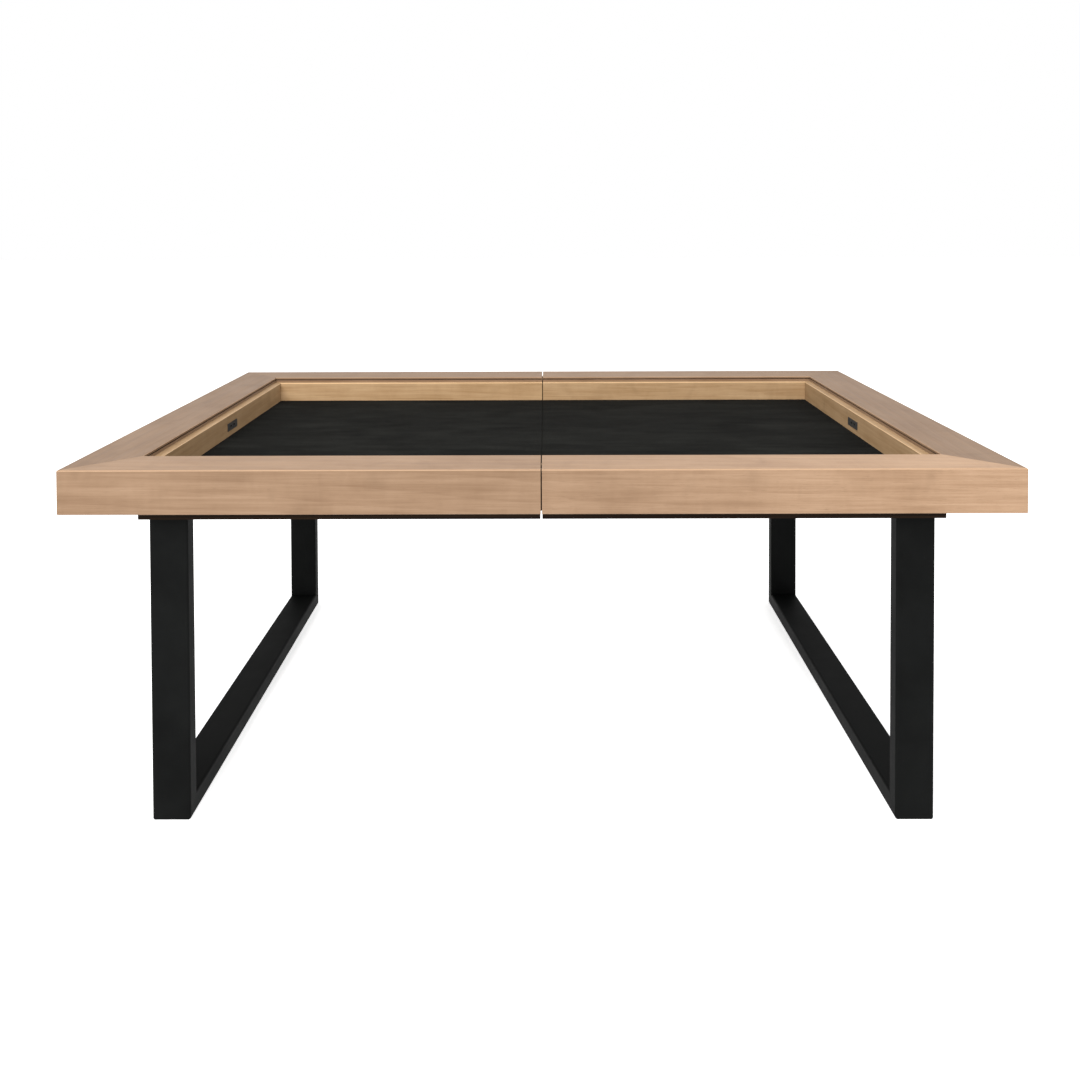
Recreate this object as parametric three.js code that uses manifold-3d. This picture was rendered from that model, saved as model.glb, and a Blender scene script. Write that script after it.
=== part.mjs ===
// Gaming table with a sunken play well, built as two halves that pull apart along X.
// Millimetres, +Z up, front towards -Y, origin on the floor under the table's centre.
import * as THREE from "three";
import { mergeVertices } from "three/addons/utils/BufferGeometryUtils.js";
import Module from "manifold-3d";

const wasm = await Module();
wasm.setup();

// Overall size
const LENGTH = 1955;
const DEPTH = 1340;
const HEIGHT = 750;

// Gaps
const SEAM = 2.6; // between the two halves
const UNDER_SEAM = 4; // between the two under-boards
const MAT_SEAM = 0.6; // between the two halves of the play mat
const FIT = 0.3; // between glued or screwed pieces
const MITRE_FIT = 0.2; // each side of a mitre

// Wooden frame: flat rails on top, aprons below them, joined in a mitre along the arris
const RAIL_WIDTH = 126;
const BOARD = 25;
const APRON_HEIGHT = 91;
const ARRIS_RADIUS = 3;
const EDGE_RADIUS = 1.8;
const LIP = 5; // from the rail's top to the shadow groove in its inner edge
const GROOVE_HEIGHT = 3.5;
const GROOVE_DEPTH = 7;

// Play well
const WALL_THICKNESS = 20;
const WALL_DROP = 14.5; // from the rail's top to the ledge
const WELL_DEPTH = 69.5;
const MAT_THICKNESS = 3;
const PANEL = 18; // floor panel and under-board
const UNDER_BOARD_END_INSET = 151;
const UNDER_BOARD_SETBACK = 31;
const FLOOR_LAP = 12; // the left floor's tongue under the right floor, across the seam

// Steel leg frames
const LEG_INSET = 162; // from the table's end to the leg's outer face
const LEG_SETBACK = 62; // from the apron's face to the leg's face
const TUBE_WIDTH = 80;
const TUBE_DEPTH = 40;
const TUBE_WALL = 2.5;
const TUBE_RADIUS = 5;
const TOP_BAR = 6;
const BOLT_RADIUS = 4;
const BOLT_HEAD_RADIUS = 8;
const BOLT_HEAD_HEIGHT = 4.6;
const HEX_RADIUS = 3;
const HEX_DEPTH = 2.6;
const BOLT_HOLE_RADIUS = 4.4;
const BOLT_PLACES = [-520, -200, 200, 520]; // along Y, on the top bar's centre line

// Telescopic slides under the boards
const SLIDE_LENGTH = 500;
const SLIDE_HEIGHT = 45;
const SLIDE_HALF_THICKNESS = 6.35;
const SLIDE_SHEET = 1.5;
const SLIDE_Y = 300;
const CLEAT_THICKNESS = 18;
const CLEAT_LENGTH = 255;
const CLEAT_SEAM_GAP = 6;

// Alignment dowels in the ends of the front and back rails
const DOWEL_RADIUS = 4;
const DOWEL_FIT = 0.25;
const DOWEL_REACH = 18;
const DOWEL_SEAT = 24;
const DOWEL_PLACES = [45, 90]; // inwards from the rail's outer edge

// Locating blocks in the hollow behind the aprons, fixed in the left half
const BLOCK_CLEARANCE = 1;
const BLOCK_SEAT = 60;
const BLOCK_REACH = 34;

// Charging sockets in the end walls
const SOCKET_WIDTH = 84;
const SOCKET_HEIGHT = 21;
const SOCKET_RADIUS = 3;
const SOCKET_Y = 18;
const SOCKET_Z = 703.5;
const BEZEL_THICKNESS = 2.2;
const BEZEL_PROUD = 0.6;
const PORT_WIDTH = 13.4;
const PORT_HEIGHT = 6;
const PORT_SPACING = 26;
const MODULE_DEPTH = 15;
const PORT_DEPTH = 9;
const TONGUE_HEIGHT = 1.9;

// Levels and half sizes worked out from the above
const HALF_LENGTH = LENGTH / 2;
const HALF_DEPTH = DEPTH / 2;
const APRON_BOTTOM = HEIGHT - APRON_HEIGHT;
const MAT_TOP = HEIGHT - WELL_DEPTH;
const FLOOR_TOP = MAT_TOP - MAT_THICKNESS - FIT;
const FLOOR_BOTTOM = FLOOR_TOP - PANEL;
const UNDER_BOARD_TOP = Math.min(FLOOR_BOTTOM, APRON_BOTTOM) - FIT;
const UNDER_BOARD_BOTTOM = UNDER_BOARD_TOP - PANEL;
const BAR_TOP = UNDER_BOARD_BOTTOM - FIT;
const BAR_BOTTOM = BAR_TOP - TOP_BAR;
const LEG_X = HALF_LENGTH - LEG_INSET - TUBE_WIDTH / 2;
const LEG_FACE_Y = HALF_DEPTH - LEG_SETBACK;
const WELL_INSET = RAIL_WIDTH + WALL_THICKNESS;
const SIDES = { left: -1, right: 1 };
const ROWS = { front: -1, back: 1 };

const beech = new THREE.MeshStandardMaterial({ color: 0xc49f80, roughness: 0.5 });
const darkBoard = new THREE.MeshStandardMaterial({ color: 0x2a1c16, roughness: 0.6 });
const blackSteel = new THREE.MeshStandardMaterial({ color: 0x191b1b, roughness: 0.45, metalness: 0.2 });
const zincSteel = new THREE.MeshStandardMaterial({ color: 0xa8abad, roughness: 0.35, metalness: 0.9 });
const cloth = new THREE.MeshStandardMaterial({ color: 0x1d1e1e, roughness: 0.95 });
const plastic = new THREE.MeshStandardMaterial({ color: 0x3b3b3a, roughness: 0.6 });

const table = new THREE.Group();

function addMesh(name, geometry, material) {
  const shaded = geometry.index ? geometry.toNonIndexed() : geometry;
  shaded.computeVertexNormals();
  const mesh = new THREE.Mesh(shaded, material);
  mesh.name = name;
  table.add(mesh);
}

// Turns every triangle over when the geometry is inside out, as a mirrored copy is.
function facingOut(geometry) {
  const position = geometry.getAttribute("position");
  const [a, b, c] = [new THREE.Vector3(), new THREE.Vector3(), new THREE.Vector3()];
  let volume = 0;
  for (let i = 0; i < position.count; i += 3) {
    a.fromBufferAttribute(position, i);
    b.fromBufferAttribute(position, i + 1);
    c.fromBufferAttribute(position, i + 2);
    volume += a.dot(b.clone().cross(c));
  }
  if (volume > 0) return geometry;
  for (let i = 0; i < position.count; i += 3) {
    b.fromBufferAttribute(position, i + 1);
    c.fromBufferAttribute(position, i + 2);
    position.setXYZ(i + 1, c.x, c.y, c.z);
    position.setXYZ(i + 2, b.x, b.y, b.z);
  }
  return geometry;
}

// A straight bar: place(p, q, t) says where the profile's point (p, q) lies at the bar's
// start (t = 0) and end (t = 1), so an end can be square or mitred.
function bar(profile, place, curveSegments = 5) {
  const options = { depth: 1, bevelEnabled: false, curveSegments };
  const geometry = new THREE.ExtrudeGeometry(profile, options);
  geometry.deleteAttribute("normal");
  geometry.deleteAttribute("uv");
  const position = geometry.getAttribute("position");
  for (let i = 0; i < position.count; i++) {
    const [x, y, z] = place(position.getX(i), position.getY(i), position.getZ(i));
    position.setXYZ(i, x, y, z);
  }
  return facingOut(geometry);
}

function box([x0, x1], [y0, y1], [z0, z1]) {
  const geometry = new THREE.BoxGeometry(Math.abs(x1 - x0), y1 - y0, z1 - z0);
  return geometry.translate((x0 + x1) / 2, (y0 + y1) / 2, (z0 + z1) / 2);
}

function solidOf(geometry) {
  const flat = geometry.index ? geometry.toNonIndexed() : geometry;
  const bare = new THREE.BufferGeometry();
  bare.setAttribute("position", flat.getAttribute("position"));
  const merged = mergeVertices(bare, 1e-3);
  const vertProperties = merged.getAttribute("position").array;
  const triVerts = new Uint32Array(merged.index.array);
  return new wasm.Manifold(new wasm.Mesh({ numProp: 3, vertProperties, triVerts }));
}

function geometryOf(solid) {
  const mesh = solid.getMesh();
  const geometry = new THREE.BufferGeometry();
  geometry.setAttribute("position", new THREE.BufferAttribute(mesh.vertProperties, 3));
  geometry.setIndex(new THREE.BufferAttribute(mesh.triVerts, 1));
  return geometry;
}

function cut(geometry, tools) {
  const whole = solidOf(geometry);
  return geometryOf(tools.reduce((solid, tool) => solid.subtract(solidOf(tool)), whole));
}

const lerp = THREE.MathUtils.lerp;

// Along the front or back, from the seam to the mitre at the table's end.
function placeRow(side, row) {
  return (inset, level, t) => [
    side * lerp(SEAM / 2, HALF_LENGTH - inset - MITRE_FIT, t),
    row * (HALF_DEPTH - inset),
    HEIGHT + level,
  ];
}

// Along the table's end, mitred at both corners.
function placeEnd(side) {
  return (inset, level, t) => [
    side * (HALF_LENGTH - inset),
    (HALF_DEPTH - inset - MITRE_FIT) * (2 * t - 1),
    HEIGHT + level,
  ];
}

// Half of the gap left along the arris, as an angle on its rounding.
const ARRIS_GAP_ANGLE = MITRE_FIT / ARRIS_RADIUS / 2;

function railProfile() {
  const shape = new THREE.Shape();
  const groove = RAIL_WIDTH - GROOVE_DEPTH;
  const mitre = (3 * Math.PI) / 4 - ARRIS_GAP_ANGLE;
  shape.moveTo(BOARD + MITRE_FIT, -BOARD);
  shape.absarc(ARRIS_RADIUS, -ARRIS_RADIUS, ARRIS_RADIUS, mitre, Math.PI / 2, true);
  shape.lineTo(RAIL_WIDTH - EDGE_RADIUS, 0);
  shape.absarc(RAIL_WIDTH - EDGE_RADIUS, -EDGE_RADIUS, EDGE_RADIUS, Math.PI / 2, 0, true);
  shape.lineTo(RAIL_WIDTH, -LIP);
  shape.lineTo(groove, -LIP);
  shape.lineTo(groove, -LIP - GROOVE_HEIGHT);
  shape.lineTo(RAIL_WIDTH, -LIP - GROOVE_HEIGHT);
  shape.lineTo(RAIL_WIDTH, -BOARD);
  shape.closePath();
  return shape;
}

function apronProfile() {
  const shape = new THREE.Shape();
  const mitre = (3 * Math.PI) / 4 + ARRIS_GAP_ANGLE;
  const low = EDGE_RADIUS - APRON_HEIGHT;
  shape.moveTo(BOARD, -APRON_HEIGHT);
  shape.lineTo(EDGE_RADIUS, -APRON_HEIGHT);
  shape.absarc(EDGE_RADIUS, low, EDGE_RADIUS, -Math.PI / 2, -Math.PI, true);
  shape.absarc(ARRIS_RADIUS, -ARRIS_RADIUS, ARRIS_RADIUS, Math.PI, mitre, true);
  shape.lineTo(BOARD, -BOARD - MITRE_FIT);
  shape.closePath();
  return shape;
}

function wallProfile() {
  const shape = new THREE.Shape();
  const outer = RAIL_WIDTH + FIT;
  const inner = WELL_INSET - EDGE_RADIUS;
  const foot = FLOOR_TOP + FIT - HEIGHT;
  shape.moveTo(outer, foot);
  shape.lineTo(outer, -WALL_DROP);
  shape.lineTo(inner, -WALL_DROP);
  shape.absarc(inner, -WALL_DROP - EDGE_RADIUS, EDGE_RADIUS, Math.PI / 2, 0, true);
  shape.lineTo(WELL_INSET, foot);
  shape.closePath();
  return shape;
}

function roundedRectangle(path, [x0, x1], [y0, y1], radius) {
  path.moveTo(x0 + radius, y0);
  path.lineTo(x1 - radius, y0);
  path.absarc(x1 - radius, y0 + radius, radius, -Math.PI / 2, 0, false);
  path.absarc(x1 - radius, y1 - radius, radius, 0, Math.PI / 2, false);
  path.absarc(x0 + radius, y1 - radius, radius, Math.PI / 2, Math.PI, false);
  path.absarc(x0 + radius, y0 + radius, radius, Math.PI, 1.5 * Math.PI, false);
  path.closePath();
  return path;
}

function cylinderAlongX(radius, x0, x1, y, z) {
  const geometry = new THREE.CylinderGeometry(radius, radius, x1 - x0, 20);
  return geometry.rotateZ(Math.PI / 2).translate((x0 + x1) / 2, y, z);
}

const DOWEL_LEVEL = HEIGHT - BOARD / 2;

// The front and back rails have blind dowel holes in their ends at the seam.
function rowRail(side, row) {
  const reach = side < 0 ? -DOWEL_SEAT - 2 : 0;
  const seat = side < 0 ? 0 : DOWEL_REACH + 4;
  const holes = DOWEL_PLACES.map((inset) =>
    cylinderAlongX(DOWEL_RADIUS + DOWEL_FIT, reach, seat, row * (HALF_DEPTH - inset), DOWEL_LEVEL),
  );
  return cut(bar(railProfile(), placeRow(side, row)), holes);
}

function addDowels() {
  for (const [rowName, row] of Object.entries(ROWS)) {
    DOWEL_PLACES.forEach((inset, i) => {
      const y = row * (HALF_DEPTH - inset);
      const dowel = cylinderAlongX(DOWEL_RADIUS, -DOWEL_SEAT, DOWEL_REACH, y, DOWEL_LEVEL);
      addMesh(`${rowName}_seam_dowel_${i + 1}`, dowel, beech);
    });
  }
}

// Each block keeps the front or back of the two halves in line as they close.
function addLocatingBlocks() {
  const near = HALF_DEPTH - BOARD - BLOCK_CLEARANCE;
  const far = HALF_DEPTH - RAIL_WIDTH + BLOCK_CLEARANCE;
  for (const [rowName, row] of Object.entries(ROWS)) {
    const across = [row * near, row * far].sort((a, b) => a - b);
    const levels = [FLOOR_TOP + BLOCK_CLEARANCE, HEIGHT - BOARD - BLOCK_CLEARANCE];
    const block = box([-BLOCK_SEAT, BLOCK_REACH], across, levels);
    addMesh(`${rowName}_locating_block`, block, darkBoard);
  }
}

function addFrame(name, side) {
  for (const [rowName, row] of Object.entries(ROWS)) {
    addMesh(`${name}_${rowName}_rail`, rowRail(side, row), beech);
    addMesh(`${name}_${rowName}_apron`, bar(apronProfile(), placeRow(side, row)), beech);
    addMesh(`${name}_${rowName}_inner_wall`, bar(wallProfile(), placeRow(side, row)), beech);
  }
  addMesh(`${name}_end_rail`, bar(railProfile(), placeEnd(side)), beech);
  addMesh(`${name}_end_apron`, bar(apronProfile(), placeEnd(side)), beech);
  const opening = box(
    [side * (HALF_LENGTH - WELL_INSET - 2), side * (HALF_LENGTH - RAIL_WIDTH + 1)],
    [SOCKET_Y - SOCKET_WIDTH / 2 - FIT, SOCKET_Y + SOCKET_WIDTH / 2 + FIT],
    [SOCKET_Z - SOCKET_HEIGHT / 2 - FIT, SOCKET_Z + SOCKET_HEIGHT / 2 + FIT],
  );
  addMesh(`${name}_end_inner_wall`, cut(bar(wallProfile(), placeEnd(side)), [opening]), beech);
}

// The floor panels are lapped at the seam: the left one's lower half runs under the right one.
function floorPanel(side) {
  const middle = (FLOOR_BOTTOM + FLOOR_TOP) / 2;
  const upperStart = SEAM / 2;
  const lowerStart = side < 0 ? -FLOOR_LAP : FLOOR_LAP + BLOCK_CLEARANCE;
  const step = middle + (side * FIT) / 2;
  const end = HALF_LENGTH - BOARD - FIT;
  const across = HALF_DEPTH - BOARD - FIT;
  const profile = new THREE.Shape();
  profile.moveTo(lowerStart, FLOOR_BOTTOM);
  profile.lineTo(end, FLOOR_BOTTOM);
  profile.lineTo(end, FLOOR_TOP);
  profile.lineTo(upperStart, FLOOR_TOP);
  profile.lineTo(upperStart, step);
  profile.lineTo(lowerStart, step);
  profile.closePath();
  return bar(profile, (x, z, t) => [side * x, across * (2 * t - 1), z]);
}

function addPanels(name, side) {
  addMesh(`${name}_well_floor`, floorPanel(side), darkBoard);

  const matEnd = side * (HALF_LENGTH - WELL_INSET - FIT);
  const matAcross = HALF_DEPTH - WELL_INSET - FIT;
  const mat = box(
    [side * (MAT_SEAM / 2), matEnd],
    [-matAcross, matAcross],
    [MAT_TOP - MAT_THICKNESS, MAT_TOP],
  );
  addMesh(`${name}_play_mat`, mat, cloth);

  const outline = new THREE.Shape();
  const setback = HALF_DEPTH - UNDER_BOARD_SETBACK;
  const farX = HALF_LENGTH - UNDER_BOARD_END_INSET;
  roundedRectangle(outline, [UNDER_SEAM / 2, farX], [-setback, setback], EDGE_RADIUS);
  outline.holes = boltHoles();
  const thickness = (x, y, t) => [side * x, y, lerp(UNDER_BOARD_BOTTOM, UNDER_BOARD_TOP, t)];
  addMesh(`${name}_under_board`, bar(outline, thickness), darkBoard);
}

function boltHoles() {
  return BOLT_PLACES.map((y) =>
    new THREE.Path().absarc(LEG_X, y, BOLT_HOLE_RADIUS, 0, 2 * Math.PI, false),
  );
}

// A rectangular tube's section: across the leg, and inwards from its outer face.
function tubeProfile() {
  const half = TUBE_WIDTH / 2;
  const bore = TUBE_RADIUS - TUBE_WALL;
  const shape = roundedRectangle(new THREE.Shape(), [-half, half], [0, TUBE_DEPTH], TUBE_RADIUS);
  const across = [TUBE_WALL - half, half - TUBE_WALL];
  shape.holes = [
    roundedRectangle(new THREE.Path(), across, [TUBE_WALL, TUBE_DEPTH - TUBE_WALL], bore),
  ];
  return shape;
}

function boltGeometry() {
  const rim = BOLT_HEAD_RADIUS * 0.75;
  const outline = [
    [0, 0],
    [rim, 0],
    [BOLT_HEAD_RADIUS, BOLT_HEAD_HEIGHT * 0.55],
    [BOLT_HEAD_RADIUS, BOLT_HEAD_HEIGHT],
    [BOLT_RADIUS, BOLT_HEAD_HEIGHT],
    [BOLT_RADIUS, BOLT_HEAD_HEIGHT + TOP_BAR + PANEL],
    [0, BOLT_HEAD_HEIGHT + TOP_BAR + PANEL],
  ].map(([radius, height]) => new THREE.Vector2(radius, height));
  const lathe = new THREE.LatheGeometry(outline, 18).rotateX(Math.PI / 2);
  lathe.deleteAttribute("normal");
  lathe.deleteAttribute("uv");
  const turned = facingOut(lathe.toNonIndexed());
  const hex = new THREE.CylinderGeometry(HEX_RADIUS, HEX_RADIUS, 2 * HEX_DEPTH, 6);
  return cut(turned, [hex.rotateX(Math.PI / 2)]);
}

function addLegFrame(name, side) {
  const centre = side * LEG_X;
  const top = BAR_BOTTOM - FIT;
  for (const [rowName, row] of Object.entries(ROWS)) {
    const upright = (across, inwards, t) => [
      centre + across,
      row * (LEG_FACE_Y - inwards),
      lerp(inwards + MITRE_FIT, top, t),
    ];
    addMesh(`${name}_${rowName}_leg`, bar(tubeProfile(), upright, 4), blackSteel);
  }
  const runner = (across, up, t) => [
    centre + across,
    (LEG_FACE_Y - up - MITRE_FIT) * (2 * t - 1),
    up,
  ];
  addMesh(`${name}_floor_runner`, bar(tubeProfile(), runner, 4), blackSteel);

  const outline = new THREE.Shape();
  const half = TUBE_WIDTH / 2;
  roundedRectangle(outline, [LEG_X - half, LEG_X + half], [-LEG_FACE_Y, LEG_FACE_Y], EDGE_RADIUS);
  outline.holes = boltHoles();
  const thickness = (x, y, t) => [side * x, y, lerp(BAR_BOTTOM, BAR_TOP, t)];
  addMesh(`${name}_leg_top_bar`, bar(outline, thickness), blackSteel);

  BOLT_PLACES.forEach((y, i) => {
    const bolt = boltGeometry().translate(centre, y, BAR_BOTTOM - BOLT_HEAD_HEIGHT - FIT);
    addMesh(`${name}_leg_bolt_${i + 1}`, bolt, zincSteel);
  });
}

// A bezel with two ports, flush in the end wall, and the charging module behind it.
function addSocket(name, side) {
  const face = HALF_LENGTH - WELL_INSET - BEZEL_PROUD; // the bezel's face, from the centre
  const ports = [-PORT_SPACING / 2, PORT_SPACING / 2];
  const half = SOCKET_WIDTH / 2;
  const high = SOCKET_HEIGHT / 2;
  const plate = roundedRectangle(new THREE.Shape(), [-half, half], [-high, high], SOCKET_RADIUS);
  plate.holes = ports.map((port) =>
    roundedRectangle(
      new THREE.Path(),
      [port - PORT_WIDTH / 2, port + PORT_WIDTH / 2],
      [-PORT_HEIGHT / 2, PORT_HEIGHT / 2],
      1,
    ),
  );
  const bezel = (across, up, t) => [
    side * (face + BEZEL_THICKNESS * t),
    SOCKET_Y + across,
    SOCKET_Z + up,
  ];
  addMesh(`${name}_socket_bezel`, bar(plate, bezel, 4), plastic);

  const front = face + BEZEL_THICKNESS + FIT;
  const body = box(
    [side * front, side * (front + MODULE_DEPTH)],
    [SOCKET_Y - half + SOCKET_RADIUS, SOCKET_Y + half - SOCKET_RADIUS],
    [SOCKET_Z - high + 1, SOCKET_Z + high - 1],
  );
  const slots = ports.flatMap((port) => {
    const across = [SOCKET_Y + port - PORT_WIDTH / 2 + 0.5, SOCKET_Y + port + PORT_WIDTH / 2 - 0.5];
    const along = [side * (front - 1), side * (front + PORT_DEPTH)];
    const low = SOCKET_Z - PORT_HEIGHT / 2 + 0.4;
    const tall = SOCKET_Z + PORT_HEIGHT / 2 - 0.4;
    const middle = SOCKET_Z - TONGUE_HEIGHT / 2 + 0.8;
    return [
      box(along, across, [low, middle]),
      box(along, across, [middle + TONGUE_HEIGHT, tall]),
    ];
  });
  addMesh(`${name}_charging_module`, cut(body, slots), plastic);
}

// A C-shaped channel's section: y of the web and of the flange tips, and z of its edges.
function channel(webY, tipY, z0, z1) {
  const inward = Math.sign(tipY - webY) * SLIDE_SHEET;
  const shape = new THREE.Shape();
  shape.moveTo(webY, z0);
  shape.lineTo(tipY, z0);
  shape.lineTo(tipY, z0 + SLIDE_SHEET);
  shape.lineTo(webY + inward, z0 + SLIDE_SHEET);
  shape.lineTo(webY + inward, z1 - SLIDE_SHEET);
  shape.lineTo(tipY, z1 - SLIDE_SHEET);
  shape.lineTo(tipY, z1);
  shape.lineTo(webY, z1);
  shape.closePath();
  return shape;
}

// Three nested channels: the outer one is screwed to the left half's cleat, the inner one to
// the right half's, and the middle one travels half as far as the right half does.
function addSlide(name, row) {
  const y = row * SLIDE_Y;
  const top = UNDER_BOARD_BOTTOM - FIT;
  const bottom = top - SLIDE_HEIGHT;
  const nest = 2 * SLIDE_SHEET;
  const edge = SLIDE_HALF_THICKNESS;
  const along = (dy, z, t) => [(t - 0.5) * SLIDE_LENGTH, y + dy, z];
  const outer = channel(-edge, edge - nest, bottom, top);
  const middle = channel(-edge + nest, edge - SLIDE_SHEET, bottom + nest, top - nest);
  const inner = channel(edge, 0, bottom + 2 * nest, top - 2 * nest);
  addMesh(`${name}_slide_outer`, bar(outer, along), zincSteel);
  addMesh(`${name}_slide_middle`, bar(middle, along), zincSteel);
  addMesh(`${name}_slide_inner`, bar(inner, along), zincSteel);
  for (const [sideName, side] of Object.entries(SIDES)) {
    const near = edge + FIT;
    const across = [y + side * near, y + side * (near + CLEAT_THICKNESS)].sort((a, b) => a - b);
    const length = [side * CLEAT_SEAM_GAP, side * (CLEAT_SEAM_GAP + CLEAT_LENGTH)];
    addMesh(`${sideName}_${name}_slide_cleat`, box(length, across, [bottom, top]), beech);
  }
}

for (const [name, side] of Object.entries(SIDES)) {
  addFrame(name, side);
  addPanels(name, side);
  addLegFrame(name, side);
  addSocket(name, side);
}
addDowels();
addLocatingBlocks();
for (const [name, row] of Object.entries(ROWS)) addSlide(name, row);

export default table;
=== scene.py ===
"""Gaming table with a sunken play well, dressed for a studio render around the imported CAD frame."""

import math

import bmesh
import bpy
from mathutils import Matrix, Vector, noise


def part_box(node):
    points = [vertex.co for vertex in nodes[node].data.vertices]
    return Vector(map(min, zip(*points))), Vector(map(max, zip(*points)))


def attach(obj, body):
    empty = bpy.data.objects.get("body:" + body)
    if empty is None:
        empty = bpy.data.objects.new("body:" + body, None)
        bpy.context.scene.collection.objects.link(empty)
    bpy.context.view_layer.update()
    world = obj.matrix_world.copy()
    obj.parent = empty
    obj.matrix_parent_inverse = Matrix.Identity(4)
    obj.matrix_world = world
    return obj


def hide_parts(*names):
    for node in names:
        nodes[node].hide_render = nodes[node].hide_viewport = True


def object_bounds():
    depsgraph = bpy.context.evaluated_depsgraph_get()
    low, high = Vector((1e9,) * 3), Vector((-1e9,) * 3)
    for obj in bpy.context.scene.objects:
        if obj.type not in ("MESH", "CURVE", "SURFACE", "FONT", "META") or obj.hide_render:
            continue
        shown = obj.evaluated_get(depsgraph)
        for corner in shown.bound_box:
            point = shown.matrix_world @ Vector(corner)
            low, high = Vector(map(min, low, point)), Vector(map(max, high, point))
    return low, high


# The camera: a level view from in front and above, with the lens shifted down
CAMERA_PLACE = (0.0088, -2.7237, 1.2511)
CAMERA_YAW = -0.0047
CAMERA_PITCH = 0.0235
CAMERA_ROLL = -0.0034
CAMERA_LENS = 34.24
CAMERA_SHIFT_Y = -0.2739

# The studio
SKY_STRENGTH = 1.0
FLOOR_SIZE = 60.0
FLOOR_GLOW = 0.62  # enough to nearly lose the table's shadow
FLOOR_TONES = ((0.86, 0.86, 0.86), (0.88, 0.88, 0.88))
LIGHT_SIZE = (3.0, 2.0)
KEY_PLACE = (-1.3, -4.0, 3.3)
KEY_POWER = 205
OVERHEAD_PLACE = (0.6, 0.4, 3.6)
OVERHEAD_POWER = 14

# Wood tones, from the darkest streak to the lightest
FRAME_TONES = ((0.190, 0.114, 0.066), (0.234, 0.147, 0.089), (0.278, 0.181, 0.114))
# The inner walls' own wood tones, made more golden as painted light bounced inside the well
WALL_TONES_AND_BOUNCE = ((0.312, 0.188, 0.090), (0.390, 0.248, 0.130), (0.458, 0.305, 0.170))
CLEAT_TONES = ((0.40, 0.27, 0.16), (0.50, 0.35, 0.22), (0.57, 0.42, 0.28))

# Other materials, from dark to light
STAIN_TONES = ((0.005, 0.0025, 0.0012), (0.010, 0.0052, 0.0026), (0.018, 0.010, 0.005))
STEEL_TONES = ((0.0028, 0.0030, 0.0029), (0.0058, 0.0062, 0.0060))
STEEL_SPECK = (0.015, 0.015, 0.015)
ZINC_TONES = ((0.34, 0.35, 0.36), (0.52, 0.53, 0.54))
CLOTH_TONES = ((0.0018, 0.0019, 0.0016), (0.0068, 0.0070, 0.0060), (0.0160, 0.0162, 0.0142))
BEZEL_TONE = (0.036, 0.036, 0.035)
MODULE_TONE = (0.012, 0.012, 0.012)

# How much lighter or darker each board is than the average, left half then right half: partly the
# boards' own tone, partly painted light and shade, such as the front rail's top lighter than its
# apron and the back wall lighter
BOARD_TONE_AND_LIGHT = {
    "front_rail": (1.23, 1.36),
    "front_apron": (0.92, 0.97),
    "front_inner_wall": (1.0, 1.0),
    "back_rail": (1.05, 1.10),
    "back_apron": (1.0, 1.02),
    "back_inner_wall": (1.22, 1.14),
    "end_rail": (0.95, 0.99),
    "end_apron": (0.98, 1.0),
    "end_inner_wall": (0.90, 0.98),
}
ARRIS_HIGHLIGHT = 1.6  # painted highlight: the rounded edges made lighter, against the board's lightest streak
ARRIS_HIGHLIGHT_SHARE = 0.8
RIGHT_FRONT_PAINTED_LIGHT = 1.34  # painted light: the right front boards grow lighter towards the end
PAINTED_LIGHT_START = 0.15  # where along X that painted light begins

# Rounded edges added to the CAD's sharp ones
CLEAT_EASE = 0.0012
UNDER_BOARD_EASE = 0.0008
EASE_SEGMENTS = 2
EASE_ANGLE = math.radians(50)

# The cloth
CLOTH_GRID = 0.02
CLOTH_EDGE = 0.0014
CLOTH_WAVE = 0.00025

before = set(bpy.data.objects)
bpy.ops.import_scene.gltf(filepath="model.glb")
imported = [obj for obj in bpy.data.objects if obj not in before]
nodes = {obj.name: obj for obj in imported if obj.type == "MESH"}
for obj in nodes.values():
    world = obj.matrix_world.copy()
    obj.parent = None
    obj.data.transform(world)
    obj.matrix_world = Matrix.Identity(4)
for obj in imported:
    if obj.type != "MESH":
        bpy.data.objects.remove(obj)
cad_low, cad_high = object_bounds()


def make_camera():
    data = bpy.data.cameras.new("camera")
    data.sensor_width = 36
    data.lens = CAMERA_LENS
    data.shift_y = CAMERA_SHIFT_Y
    data.clip_end = 200
    camera = bpy.data.objects.new("camera", data)
    bpy.context.scene.collection.objects.link(camera)
    level = math.pi / 2 - CAMERA_PITCH
    turn = Matrix.Rotation(-CAMERA_YAW, 4, "Z") @ Matrix.Rotation(level, 4, "X")
    roll = Matrix.Rotation(CAMERA_ROLL, 4, "Z")
    camera.matrix_world = Matrix.Translation(CAMERA_PLACE) @ turn @ roll
    bpy.context.scene.camera = camera


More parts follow.
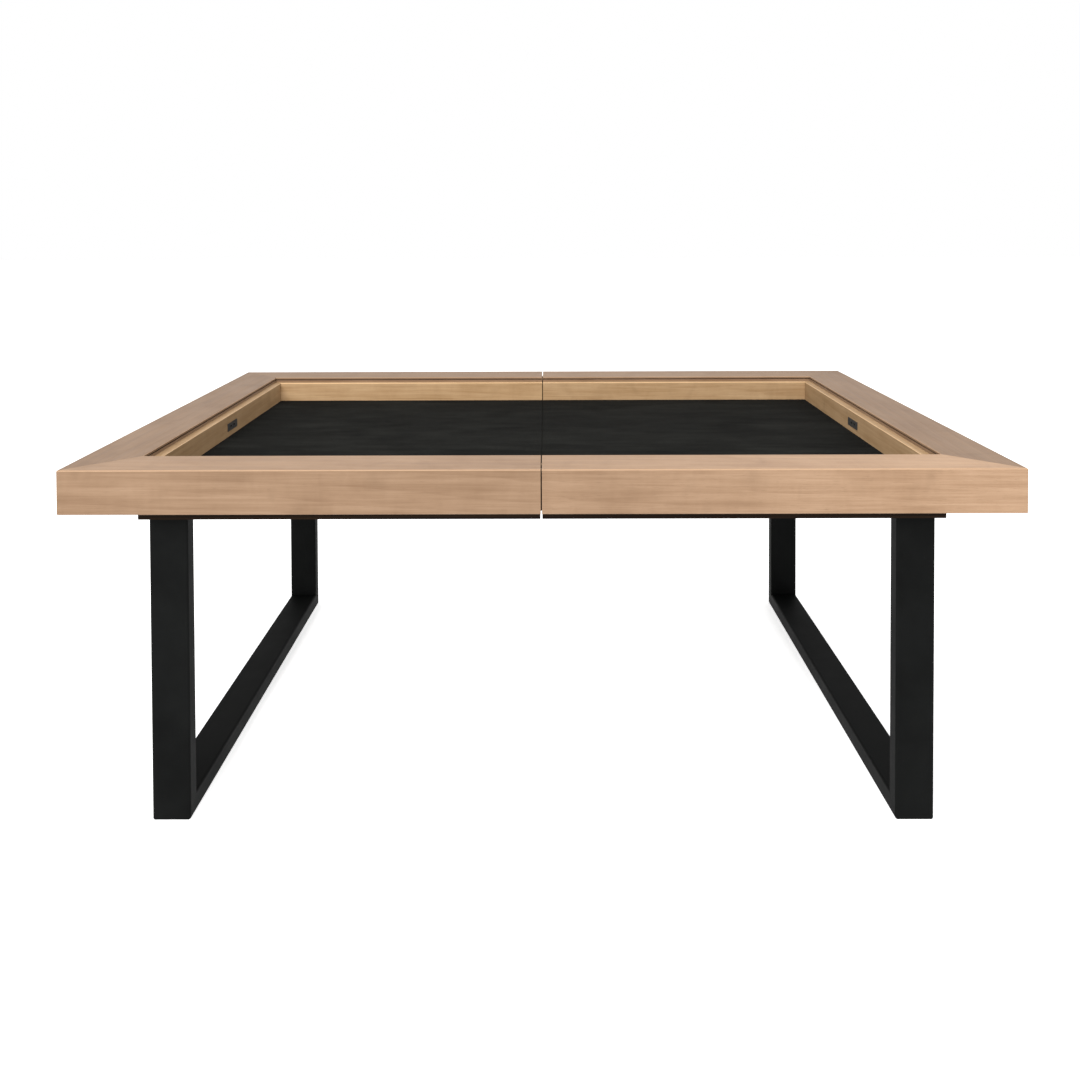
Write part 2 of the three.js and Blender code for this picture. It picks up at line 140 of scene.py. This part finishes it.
class Shading:
    """A material's node tree: add() makes a node, and a socket given as a value is linked."""

    def __init__(self, name):
        self.material = bpy.data.materials.new(name)
        self.material.use_nodes = True
        self.tree = self.material.node_tree
        self.tree.nodes.clear()
        self.shader = self.add("ShaderNodeBsdfPrincipled")
        output = self.add("ShaderNodeOutputMaterial")
        self.tree.links.new(self.shader.outputs["BSDF"], output.inputs["Surface"])

    def add(self, kind, settings=(), **inputs):
        node = self.tree.nodes.new(kind)
        for key, value in dict(settings).items():
            setattr(node, key, value)
        for key, value in inputs.items():
            self.put(node, key.replace("_", " "), value)
        return node

    def put(self, node, socket, value):
        target = node.inputs[int(socket) if socket.isdigit() else socket]
        if isinstance(value, bpy.types.NodeSocket):
            self.tree.links.new(value, target)
        else:
            target.default_value = value

    def coordinates(self, scale, offset=(0, 0, 0), turn=0.0):
        place = self.add("ShaderNodeTexCoord").outputs["Object"]
        if turn:
            turned = self.add("ShaderNodeMapping", Vector=place, Rotation=(0, 0, turn))
            place = turned.outputs["Vector"]
        mapping = self.add("ShaderNodeMapping", Vector=place, Scale=scale, Location=offset)
        return mapping.outputs["Vector"]

    def noise(self, place, scale, detail=3.0, rough=0.5, distortion=0.0):
        node = self.add(
            "ShaderNodeTexNoise",
            Vector=place,
            Scale=scale,
            Detail=detail,
            Roughness=rough,
            Distortion=distortion,
        )
        return node.outputs["Fac"]

    def spread(self, value, low, high, to_low=0.0, to_high=1.0):
        node = self.add("ShaderNodeMapRange", Value=value)
        for socket, number in (("From Min", low), ("From Max", high)):
            node.inputs[socket].default_value = number
        for socket, number in (("To Min", to_low), ("To Max", to_high)):
            node.inputs[socket].default_value = number
        return node.outputs["Result"]

    def maths(self, operation, first, second):
        node = self.add("ShaderNodeMath", {"operation": operation})
        self.put(node, "0", first)
        self.put(node, "1", second)
        return node.outputs["Value"]

    def blend(self, layers):
        """The sum of some layers, each given with its share."""
        total = None
        for layer, share in layers:
            part = self.maths("MULTIPLY", layer, share)
            total = part if total is None else self.maths("ADD", total, part)
        return total

    def ramp(self, value, stops):
        node = self.add("ShaderNodeValToRGB", Fac=value)
        points = node.color_ramp.elements
        while len(points) < len(stops):
            points.new(0.5)
        for point, (place, colour) in zip(points, stops):
            point.position = place
            point.color = (*colour, 1)
        return node.outputs["Color"]

    def mix(self, factor, first, second, blend="MIX"):
        node = self.add("ShaderNodeMix", {"data_type": "RGBA", "blend_type": blend})
        self.put(node, "0", factor)
        self.put(node, "6", first)
        self.put(node, "7", second)
        return node.outputs[2]

    def bump(self, height, strength, distance):
        node = self.add("ShaderNodeBump", Height=height, Strength=strength, Distance=distance)
        self.put(self.shader, "Normal", node.outputs["Normal"])

    def finish(self, **inputs):
        for key, value in inputs.items():
            self.put(self.shader, key.replace("_", " "), value)
        return self.material


def scaled(tone, factor):
    return tuple(channel * factor for channel in tone)


def wood(name, tones, grain_along_y, seed, tone=1.0, painted_end_light=1.0):
    """Lacquered hardwood: streaks, fibres, growth lines, smudges, pores and a painted highlight on
    the rounded edges.
    """
    shading = Shading(name)
    turn = math.pi / 2 if grain_along_y else 0.0
    shift = (seed * 1.37, seed * 0.71, seed * 0.53)

    streaks = shading.noise(shading.coordinates((1.3, 42, 42), shift, turn), 2.2, 6, 0.62, 0.25)
    lines_place = shading.coordinates((0.9, 16, 16), shift, turn)
    lines = shading.add(
        "ShaderNodeTexWave",
        {"wave_type": "BANDS", "bands_direction": "DIAGONAL", "wave_profile": "SAW"},
        Vector=lines_place,
        Scale=1.25,
        Distortion=5.5,
        Detail=3.0,
        Detail_Scale=0.8,
    ).outputs["Fac"]
    blotches = shading.noise(shading.coordinates((5, 11, 11), shift, turn), 1.1, 3, 0.55, 0.6)
    figure = shading.noise(shading.coordinates((34, 9, 9), shift, turn), 1.0, 2, 0.5, 1.2)
    fibres = shading.noise(shading.coordinates((7, 330, 330), shift, turn), 1.0, 3, 0.6, 0.15)
    smudges = shading.noise(shading.coordinates((11, 7, 7), shift, turn), 1.0, 2, 0.5, 0.9)
    pores = shading.noise(shading.coordinates((55, 950, 950), shift, turn), 1.0, 2, 0.5)

    layers = ((streaks, 0.43), (lines, 0.06), (blotches, 0.30), (figure, 0.07), (fibres, 0.26))
    tone_mix = shading.blend(layers)
    # The tone factor carries painted light and shade as well as the board's own tone
    low, middle, high = (scaled(shade, tone) for shade in tones)
    colour = shading.ramp(tone_mix, ((0.42, low), (0.56, middle), (0.71, high)))

    # Painted light: the board grows lighter towards its end along X
    if painted_end_light != 1.0:
        along = shading.add("ShaderNodeSeparateXYZ", Vector=shading.coordinates((1, 1, 1)))
        reach = shading.spread(along.outputs["X"], PAINTED_LIGHT_START, cad_high.x)
        lighter = shading.mix(1.0, colour, (painted_end_light, painted_end_light, painted_end_light, 1), "MULTIPLY")
        colour = shading.mix(reach, colour, lighter)

    smudge = shading.maths("MULTIPLY", shading.spread(smudges, 0.56, 0.74), 0.24)
    colour = shading.mix(smudge, colour, (*scaled(low, 0.72), 1))

    # Painted highlight on the rounded edges: only a sloping face has an upward share that is neither
    # 0 nor 1
    facing = shading.add("ShaderNodeNewGeometry").outputs["Normal"]
    upward = shading.add("ShaderNodeSeparateXYZ", Vector=facing).outputs["Z"]
    slope = shading.maths("MULTIPLY", upward, shading.maths("SUBTRACT", 1.0, upward))
    arris_highlight = shading.maths("MULTIPLY", shading.spread(slope, 0.08, 0.18), ARRIS_HIGHLIGHT_SHARE)
    colour = shading.mix(arris_highlight, colour, (*scaled(high, ARRIS_HIGHLIGHT), 1))

    pore_depth = shading.spread(pores, 0.60, 0.74)
    pore_tint = shading.maths("MULTIPLY", pore_depth, 0.28)
    colour = shading.mix(pore_tint, colour, (*scaled(low, 0.6), 1))

    height = shading.maths("SUBTRACT", shading.maths("MULTIPLY", streaks, 0.35), pore_depth)
    shading.bump(height, 0.16, 0.0004)
    rough = shading.spread(streaks, 0.3, 0.7, 0.40, 0.52)
    return shading.finish(Base_Color=colour, Roughness=rough, Specular_IOR_Level=0.12)


def stained_board():
    """Dark brown stained board with a faint ply-like line along its edges."""
    shading = Shading("stained_board")
    grain = shading.noise(shading.coordinates((3, 60, 60)), 2.0, 5, 0.6)
    layers = shading.noise(shading.coordinates((2, 2, 420)), 1.0, 2, 0.5)
    blend = shading.maths("ADD", shading.maths("MULTIPLY", grain, 0.6), layers)
    colour = shading.ramp(blend, tuple(zip((0.5, 0.75, 0.98), STAIN_TONES)))
    shading.bump(blend, 0.2, 0.0005)
    rough = shading.spread(grain, 0.3, 0.7, 0.5, 0.68)
    return shading.finish(Base_Color=colour, Roughness=rough, Specular_IOR_Level=0.05)


def black_steel():
    """Satin powder coat: fine orange peel, slight unevenness and dust-grey speckle."""
    shading = Shading("black_steel")
    peel = shading.noise(shading.coordinates((1, 1, 1)), 1300, 2, 0.5)
    cloud = shading.noise(shading.coordinates((1, 1, 1)), 7, 4, 0.6)
    speck = shading.spread(shading.noise(shading.coordinates((1, 1, 1)), 420, 1, 0.4), 0.70, 0.78)
    colour = shading.ramp(cloud, tuple(zip((0.3, 0.7), STEEL_TONES)))
    colour = shading.mix(shading.maths("MULTIPLY", speck, 0.25), colour, (*STEEL_SPECK, 1))
    shading.bump(peel, 0.35, 0.00012)
    rough = shading.spread(cloud, 0.3, 0.7, 0.54, 0.66)
    return shading.finish(Base_Color=colour, Roughness=rough, Specular_IOR_Level=0.035)


def zinc_steel():
    """Zinc plate: drawn lines along X and a mottled sheen."""
    shading = Shading("zinc_steel")
    drawn = shading.noise(shading.coordinates((6, 900, 900)), 1.0, 3, 0.55)
    mottle = shading.noise(shading.coordinates((1, 1, 1)), 60, 3, 0.6)
    colour = shading.ramp(mottle, tuple(zip((0.3, 0.7), ZINC_TONES)))
    shading.bump(drawn, 0.12, 0.0002)
    rough = shading.spread(drawn, 0.3, 0.7, 0.26, 0.42)
    return shading.finish(Base_Color=colour, Roughness=rough, Metallic=0.95)


def socket_plastic(name, shade):
    """Moulded plastic with a fine spark texture."""
    shading = Shading(name)
    spark = shading.noise(shading.coordinates((1, 1, 1)), 1800, 2, 0.6)
    colour = shading.ramp(spark, ((0.35, scaled(shade, 0.85)), (0.65, scaled(shade, 1.15))))
    shading.bump(spark, 0.3, 0.0001)
    rough = shading.spread(spark, 0.35, 0.65, 0.42, 0.58)
    return shading.finish(Base_Color=colour, Roughness=rough, Specular_IOR_Level=0.3)


def play_cloth():
    """Black speed cloth: a fine knit, loose fibres, broad brushed patches and long strokes."""
    shading = Shading("play_cloth")
    place = shading.coordinates((1, 1, 1))
    ribs = [
        shading.add(
            "ShaderNodeTexWave",
            {"wave_type": "BANDS", "bands_direction": direction, "wave_profile": "SIN"},
            Vector=place,
            Scale=190.0,
            Distortion=1.4,
            Detail=1.0,
        ).outputs["Fac"]
        for direction in ("X", "Y")
    ]
    knit = shading.maths("MULTIPLY", ribs[0], ribs[1])
    fibres = shading.noise(place, 2600, 3, 0.7)
    brushed = shading.noise(shading.coordinates((1, 2.4, 1)), 3.2, 4, 0.6, 0.8)
    strokes = shading.noise(shading.coordinates((9, 60, 1)), 1.0, 4, 0.65, 0.4)
    shade = shading.blend(((fibres, 0.45), (knit, 0.2), (brushed, 0.4), (strokes, 0.3)))
    colour = shading.ramp(shade, tuple(zip((0.52, 0.64, 0.76), CLOTH_TONES)))
    height = shading.maths("ADD", knit, shading.maths("MULTIPLY", fibres, 0.7))
    shading.bump(height, 0.5, 0.0004)
    return shading.finish(
        Base_Color=colour,
        Roughness=0.93,
        Specular_IOR_Level=0.025,
        Sheen_Weight=0.01,
        Sheen_Roughness=0.4,
    )


def dress(node, material):
    mesh = nodes[node].data
    mesh.materials.clear()
    mesh.materials.append(material)


def soften(node, width):
    """A small bevel on a CAD node's sharp edges, so that they catch the light."""
    bevel = nodes[node].modifiers.new("eased_edges", "BEVEL")
    bevel.width = width
    bevel.segments = EASE_SEGMENTS
    bevel.limit_method = "ANGLE"
    bevel.angle_limit = EASE_ANGLE
    bevel.harden_normals = False


def dress_wood():
    """Each board gets its own stretch of grain; end boards run along Y."""
    seed = 0
    for side_index, side in enumerate(("left", "right")):
        for board, board_tone_and_light in BOARD_TONE_AND_LIGHT.items():
            node = f"{side}_{board}"
            seed += 1
            tones = WALL_TONES_AND_BOUNCE if "inner_wall" in board else FRAME_TONES
            # The right front boards get painted light towards their end
            gets_painted_light = side == "right" and board in ("front_rail", "front_apron")
            painted_end_light = RIGHT_FRONT_PAINTED_LIGHT if gets_painted_light else 1.0
            along_y = board.startswith("end")
            dress(node, wood(node, tones, along_y, seed, board_tone_and_light[side_index], painted_end_light))
    for name in nodes:
        if "slide_cleat" in name or "seam_dowel" in name:
            seed += 1
            dress(name, wood(name, CLEAT_TONES, False, seed))


def dress_others():
    board = stained_board()
    steel = black_steel()
    zinc = zinc_steel()
    bezel = socket_plastic("socket_bezel", BEZEL_TONE)
    module = socket_plastic("charging_module", MODULE_TONE)
    for name in nodes:
        if any(word in name for word in ("well_floor", "under_board", "locating_block")):
            dress(name, board)
        elif name.endswith("_leg") or "floor_runner" in name or "top_bar" in name:
            dress(name, steel)
        elif "leg_bolt" in name or name.startswith(("front_slide", "back_slide")):
            dress(name, zinc)
        elif name.endswith("socket_bezel"):
            dress(name, bezel)
        elif name.endswith("charging_module"):
            dress(name, module)


def ease_edges():
    for name in nodes:
        if "slide_cleat" in name:
            soften(name, CLEAT_EASE)
        elif "under_board" in name:
            soften(name, UNDER_BOARD_EASE)


def axis_steps(low, high):
    """Even steps along one side, with two close rows near each end for the rounded edge."""
    count = max(2, round((high - low) / CLOTH_GRID))
    inner = [low + (high - low) * step / count for step in range(1, count)]
    near = [low, low + CLOTH_EDGE * 0.3, low + CLOTH_EDGE]
    far = [high - CLOTH_EDGE, high - CLOTH_EDGE * 0.3, high]
    return near + inner + far


def cloth_height(x, y, low, high):
    """The cloth's surface: a very slight unevenness, and edges that round over."""
    edge = min(x - low.x, high.x - x, y - low.y, high.y - y)
    rounding = max(0.0, 1 - edge / CLOTH_EDGE)
    drop = CLOTH_EDGE * (1 - math.sqrt(max(0.0, 1 - rounding**2)))
    wave = noise.noise(Vector((x * 5, y * 5, 0.3))) + 0.5 * noise.noise(Vector((x * 17, y * 17, 2.1)))
    return high.z - CLOTH_WAVE - drop + CLOTH_WAVE * 0.6 * wave


def make_cloth(side, material):
    """One half's play cloth: a single closed sheet, stuck flat on the well's floor."""
    node = f"{side}_play_mat"
    low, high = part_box(node)
    xs = axis_steps(low.x, high.x)
    ys = axis_steps(low.y, high.y)
    mesh = bmesh.new()
    tops = [[mesh.verts.new((x, y, cloth_height(x, y, low, high))) for y in ys] for x in xs]
    feet = [[mesh.verts.new((x, y, low.z)) for y in ys] for x in xs]
    for i in range(len(xs) - 1):
        for j in range(len(ys) - 1):
            corners = ((i, j), (i + 1, j), (i + 1, j + 1), (i, j + 1))
            mesh.faces.new([tops[a][b] for a, b in corners])
            mesh.faces.new([feet[a][b] for a, b in reversed(corners)])
    rim = [(i, 0) for i in range(len(xs))]
    rim += [(len(xs) - 1, j) for j in range(1, len(ys))]
    rim += [(i, len(ys) - 1) for i in range(len(xs) - 2, -1, -1)]
    rim += [(0, j) for j in range(len(ys) - 2, 0, -1)]
    for (a, b), (c, d) in zip(rim, rim[1:] + rim[:1]):
        mesh.faces.new((feet[a][b], feet[c][d], tops[c][d], tops[a][b]))
    bmesh.ops.recalc_face_normals(mesh, faces=mesh.faces)
    data = bpy.data.meshes.new(f"{side}_play_cloth")
    mesh.to_mesh(data)
    mesh.free()
    data.shade_smooth()
    data.set_sharp_from_angle(angle=math.radians(60))
    data.materials.append(material)
    cloth = bpy.data.objects.new(f"{side}_play_cloth", data)
    bpy.context.scene.collection.objects.link(cloth)
    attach(cloth, f"{side}_half")
    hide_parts(node)


def make_floor():
    half = FLOOR_SIZE / 2
    data = bpy.data.meshes.new("studio_floor")
    corners = [(-half, -half, 0), (half, -half, 0), (half, half, 0), (-half, half, 0)]
    data.from_pydata(corners, [], [(0, 1, 2, 3)])
    shading = Shading("studio_floor")
    cloud = shading.noise(shading.coordinates((1, 1, 1)), 2, 2, 0.5)
    colour = shading.ramp(cloud, tuple(zip((0.2, 0.8), FLOOR_TONES)))
    material = shading.finish(
        Base_Color=colour,
        Roughness=0.9,
        Specular_IOR_Level=0.0,
        Emission_Color=(1, 1, 1, 1),
        Emission_Strength=FLOOR_GLOW,
    )
    data.materials.append(material)
    floor = bpy.data.objects.new("studio_floor", data)
    bpy.context.scene.collection.objects.link(floor)


def soft_light(name, place, power):
    """A soft rectangular light aimed at the middle of the table's top."""
    aim = Vector((0, 0, cad_high.z))
    data = bpy.data.lights.new(name, "AREA")
    data.shape = "RECTANGLE"
    data.size, data.size_y = LIGHT_SIZE
    data.energy = power
    light = bpy.data.objects.new(name, data)
    bpy.context.scene.collection.objects.link(light)
    light.location = place
    light.rotation_euler = (aim - Vector(place)).to_track_quat("-Z", "Y").to_euler()


def light_studio():
    world = bpy.data.worlds.new("studio")
    world.use_nodes = True
    background = world.node_tree.nodes["Background"]
    background.inputs["Color"].default_value = (1, 1, 1, 1)
    background.inputs["Strength"].default_value = SKY_STRENGTH
    scene = bpy.context.scene
    scene.world = world
    scene.view_settings.view_transform = "Standard"
    soft_light("key", KEY_PLACE, KEY_POWER)
    soft_light("overhead", OVERHEAD_PLACE, OVERHEAD_POWER)


make_camera()
light_studio()
make_floor()
dress_wood()
dress_others()
ease_edges()
cloth_material = play_cloth()
for half_name in ("left", "right"):
    make_cloth(half_name, cloth_material)
